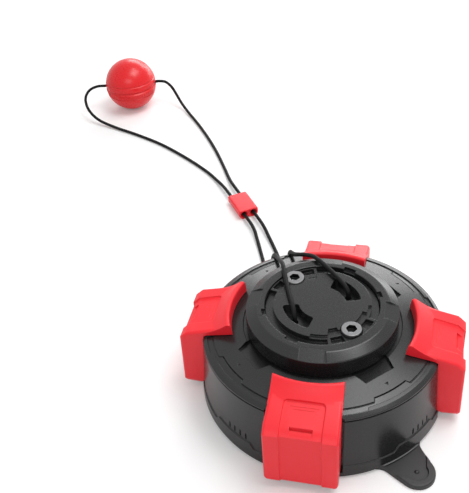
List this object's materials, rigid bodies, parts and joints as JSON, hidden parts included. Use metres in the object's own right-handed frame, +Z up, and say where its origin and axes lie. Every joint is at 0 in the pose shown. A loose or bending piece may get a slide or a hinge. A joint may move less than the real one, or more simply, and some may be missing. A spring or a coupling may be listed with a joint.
{
  "type": "suction cup dog tug toy",
  "caption": "Round suction base with red locking levers and a swivel hub that anchors an elastic cord with a slider and a rubber tug ball, for dogs to pull.",
  "frame": {"origin": "middle of the suction face, on the floor", "axes": "+Z up, the hub's swivel axis; the levers lie on +X, -X, +Y and -Y; the cord runs off between +Y and -X"},
  "size_m": [0.4059, 0.4916, 0.0767],
  "materials": {
    "pad_rubber": "matte moulded rubber",
    "black_plastic": "satin, fine grain",
    "red_plastic": "satin",
    "white_plastic": "smooth",
    "steel": "satin zinc",
    "cord": "braided sheath",
    "ball_rubber": "semi-gloss moulded rubber"
  },
  "bodies": {
    "base": {"suction_pad": "pad_rubber", "pad_stud": "steel", "stud_washer": "steel", "stud_nut": "steel", "drum": "black_plastic", "top_cover": "black_plastic", "cover_screws": "steel", "swivel_washer": "white_plastic", "cord_left": "cord", "cord_right": "cord"},
    "hub": {"hub_collar": "black_plastic", "hub_cap": "black_plastic", "cap_screws": "steel", "hub_retainer": "black_plastic", "cord_knots": "cord"},
    "slider": {"cord_slider": "red_plastic"},
    "ball": {"tug_ball": "ball_rubber"},
    "lever_front_body": {"lever_front": "red_plastic", "pin_front": "steel"},
    "foot_front_body": {"foot_front": "black_plastic"},
    "lever_right_body": {"lever_right": "red_plastic", "pin_right": "steel"},
    "foot_right_body": {"foot_right": "black_plastic"},
    "lever_back_body": {"lever_back": "red_plastic", "pin_back": "steel"},
    "foot_back_body": {"foot_back": "black_plastic"},
    "lever_left_body": {"lever_left": "red_plastic", "pin_left": "steel"},
    "foot_left_body": {"foot_left": "black_plastic"}
  },
  "joints": [
    {"name": "hub_swivel", "type": "hinge", "parent": "base", "child": "hub", "pos_m": [0, 0, 0.06], "axis": [0, 0, 1], "continuous": true, "deforming": ["cord_left", "cord_right"]},
    {"name": "lever_front_hinge", "type": "hinge", "parent": "base", "child": "lever_front_body", "pos_m": [0, -0.086, 0.013], "axis": [1, 0, 0], "range_deg": [0, 80]},
    {"name": "foot_front_slide", "type": "slide", "parent": "base", "child": "foot_front_body", "axis": [0, 0, 1], "range_m": [0, 0.0025]},
    {"name": "lever_right_hinge", "type": "hinge", "parent": "base", "child": "lever_right_body", "pos_m": [0.086, 0, 0.013], "axis": [0, 1, 0], "range_deg": [0, 80]},
    {"name": "foot_right_slide", "type": "slide", "parent": "base", "child": "foot_right_body", "axis": [0, 0, 1], "range_m": [0, 0.0025]},
    {"name": "lever_back_hinge", "type": "hinge", "parent": "base", "child": "lever_back_body", "pos_m": [0, 0.086, 0.013], "axis": [-1, 0, 0], "range_deg": [0, 80]},
    {"name": "foot_back_slide", "type": "slide", "parent": "base", "child": "foot_back_body", "axis": [0, 0, 1], "range_m": [0, 0.0025]},
    {"name": "lever_left_hinge", "type": "hinge", "parent": "base", "child": "lever_left_body", "pos_m": [-0.086, 0, 0.013], "axis": [0, -1, 0], "range_deg": [0, 80]},
    {"name": "foot_left_slide", "type": "slide", "parent": "base", "child": "foot_left_body", "axis": [0, 0, 1], "range_m": [0, 0.0025]},
    {"name": "slider_slide", "type": "slide", "parent": "base", "child": "slider", "axis": [-0.5736, 0.8192, 0], "range_m": [-0.015, 0.015]},
    {"name": "ball_spin", "type": "hinge", "parent": "base", "child": "ball", "pos_m": [-0.2648, 0.3701, 0.0275], "axis": [0.9613, 0.2756, 0], "continuous": true}
  ],
  "couplings": [
    {"joint": "foot_front_slide", "follows": "lever_front_hinge", "m_per_rad": 0.00179},
    {"joint": "foot_right_slide", "follows": "lever_right_hinge", "m_per_rad": 0.00179},
    {"joint": "foot_back_slide", "follows": "lever_back_hinge", "m_per_rad": 0.00179},
    {"joint": "foot_left_slide", "follows": "lever_left_hinge", "m_per_rad": 0.00179}
  ]
}
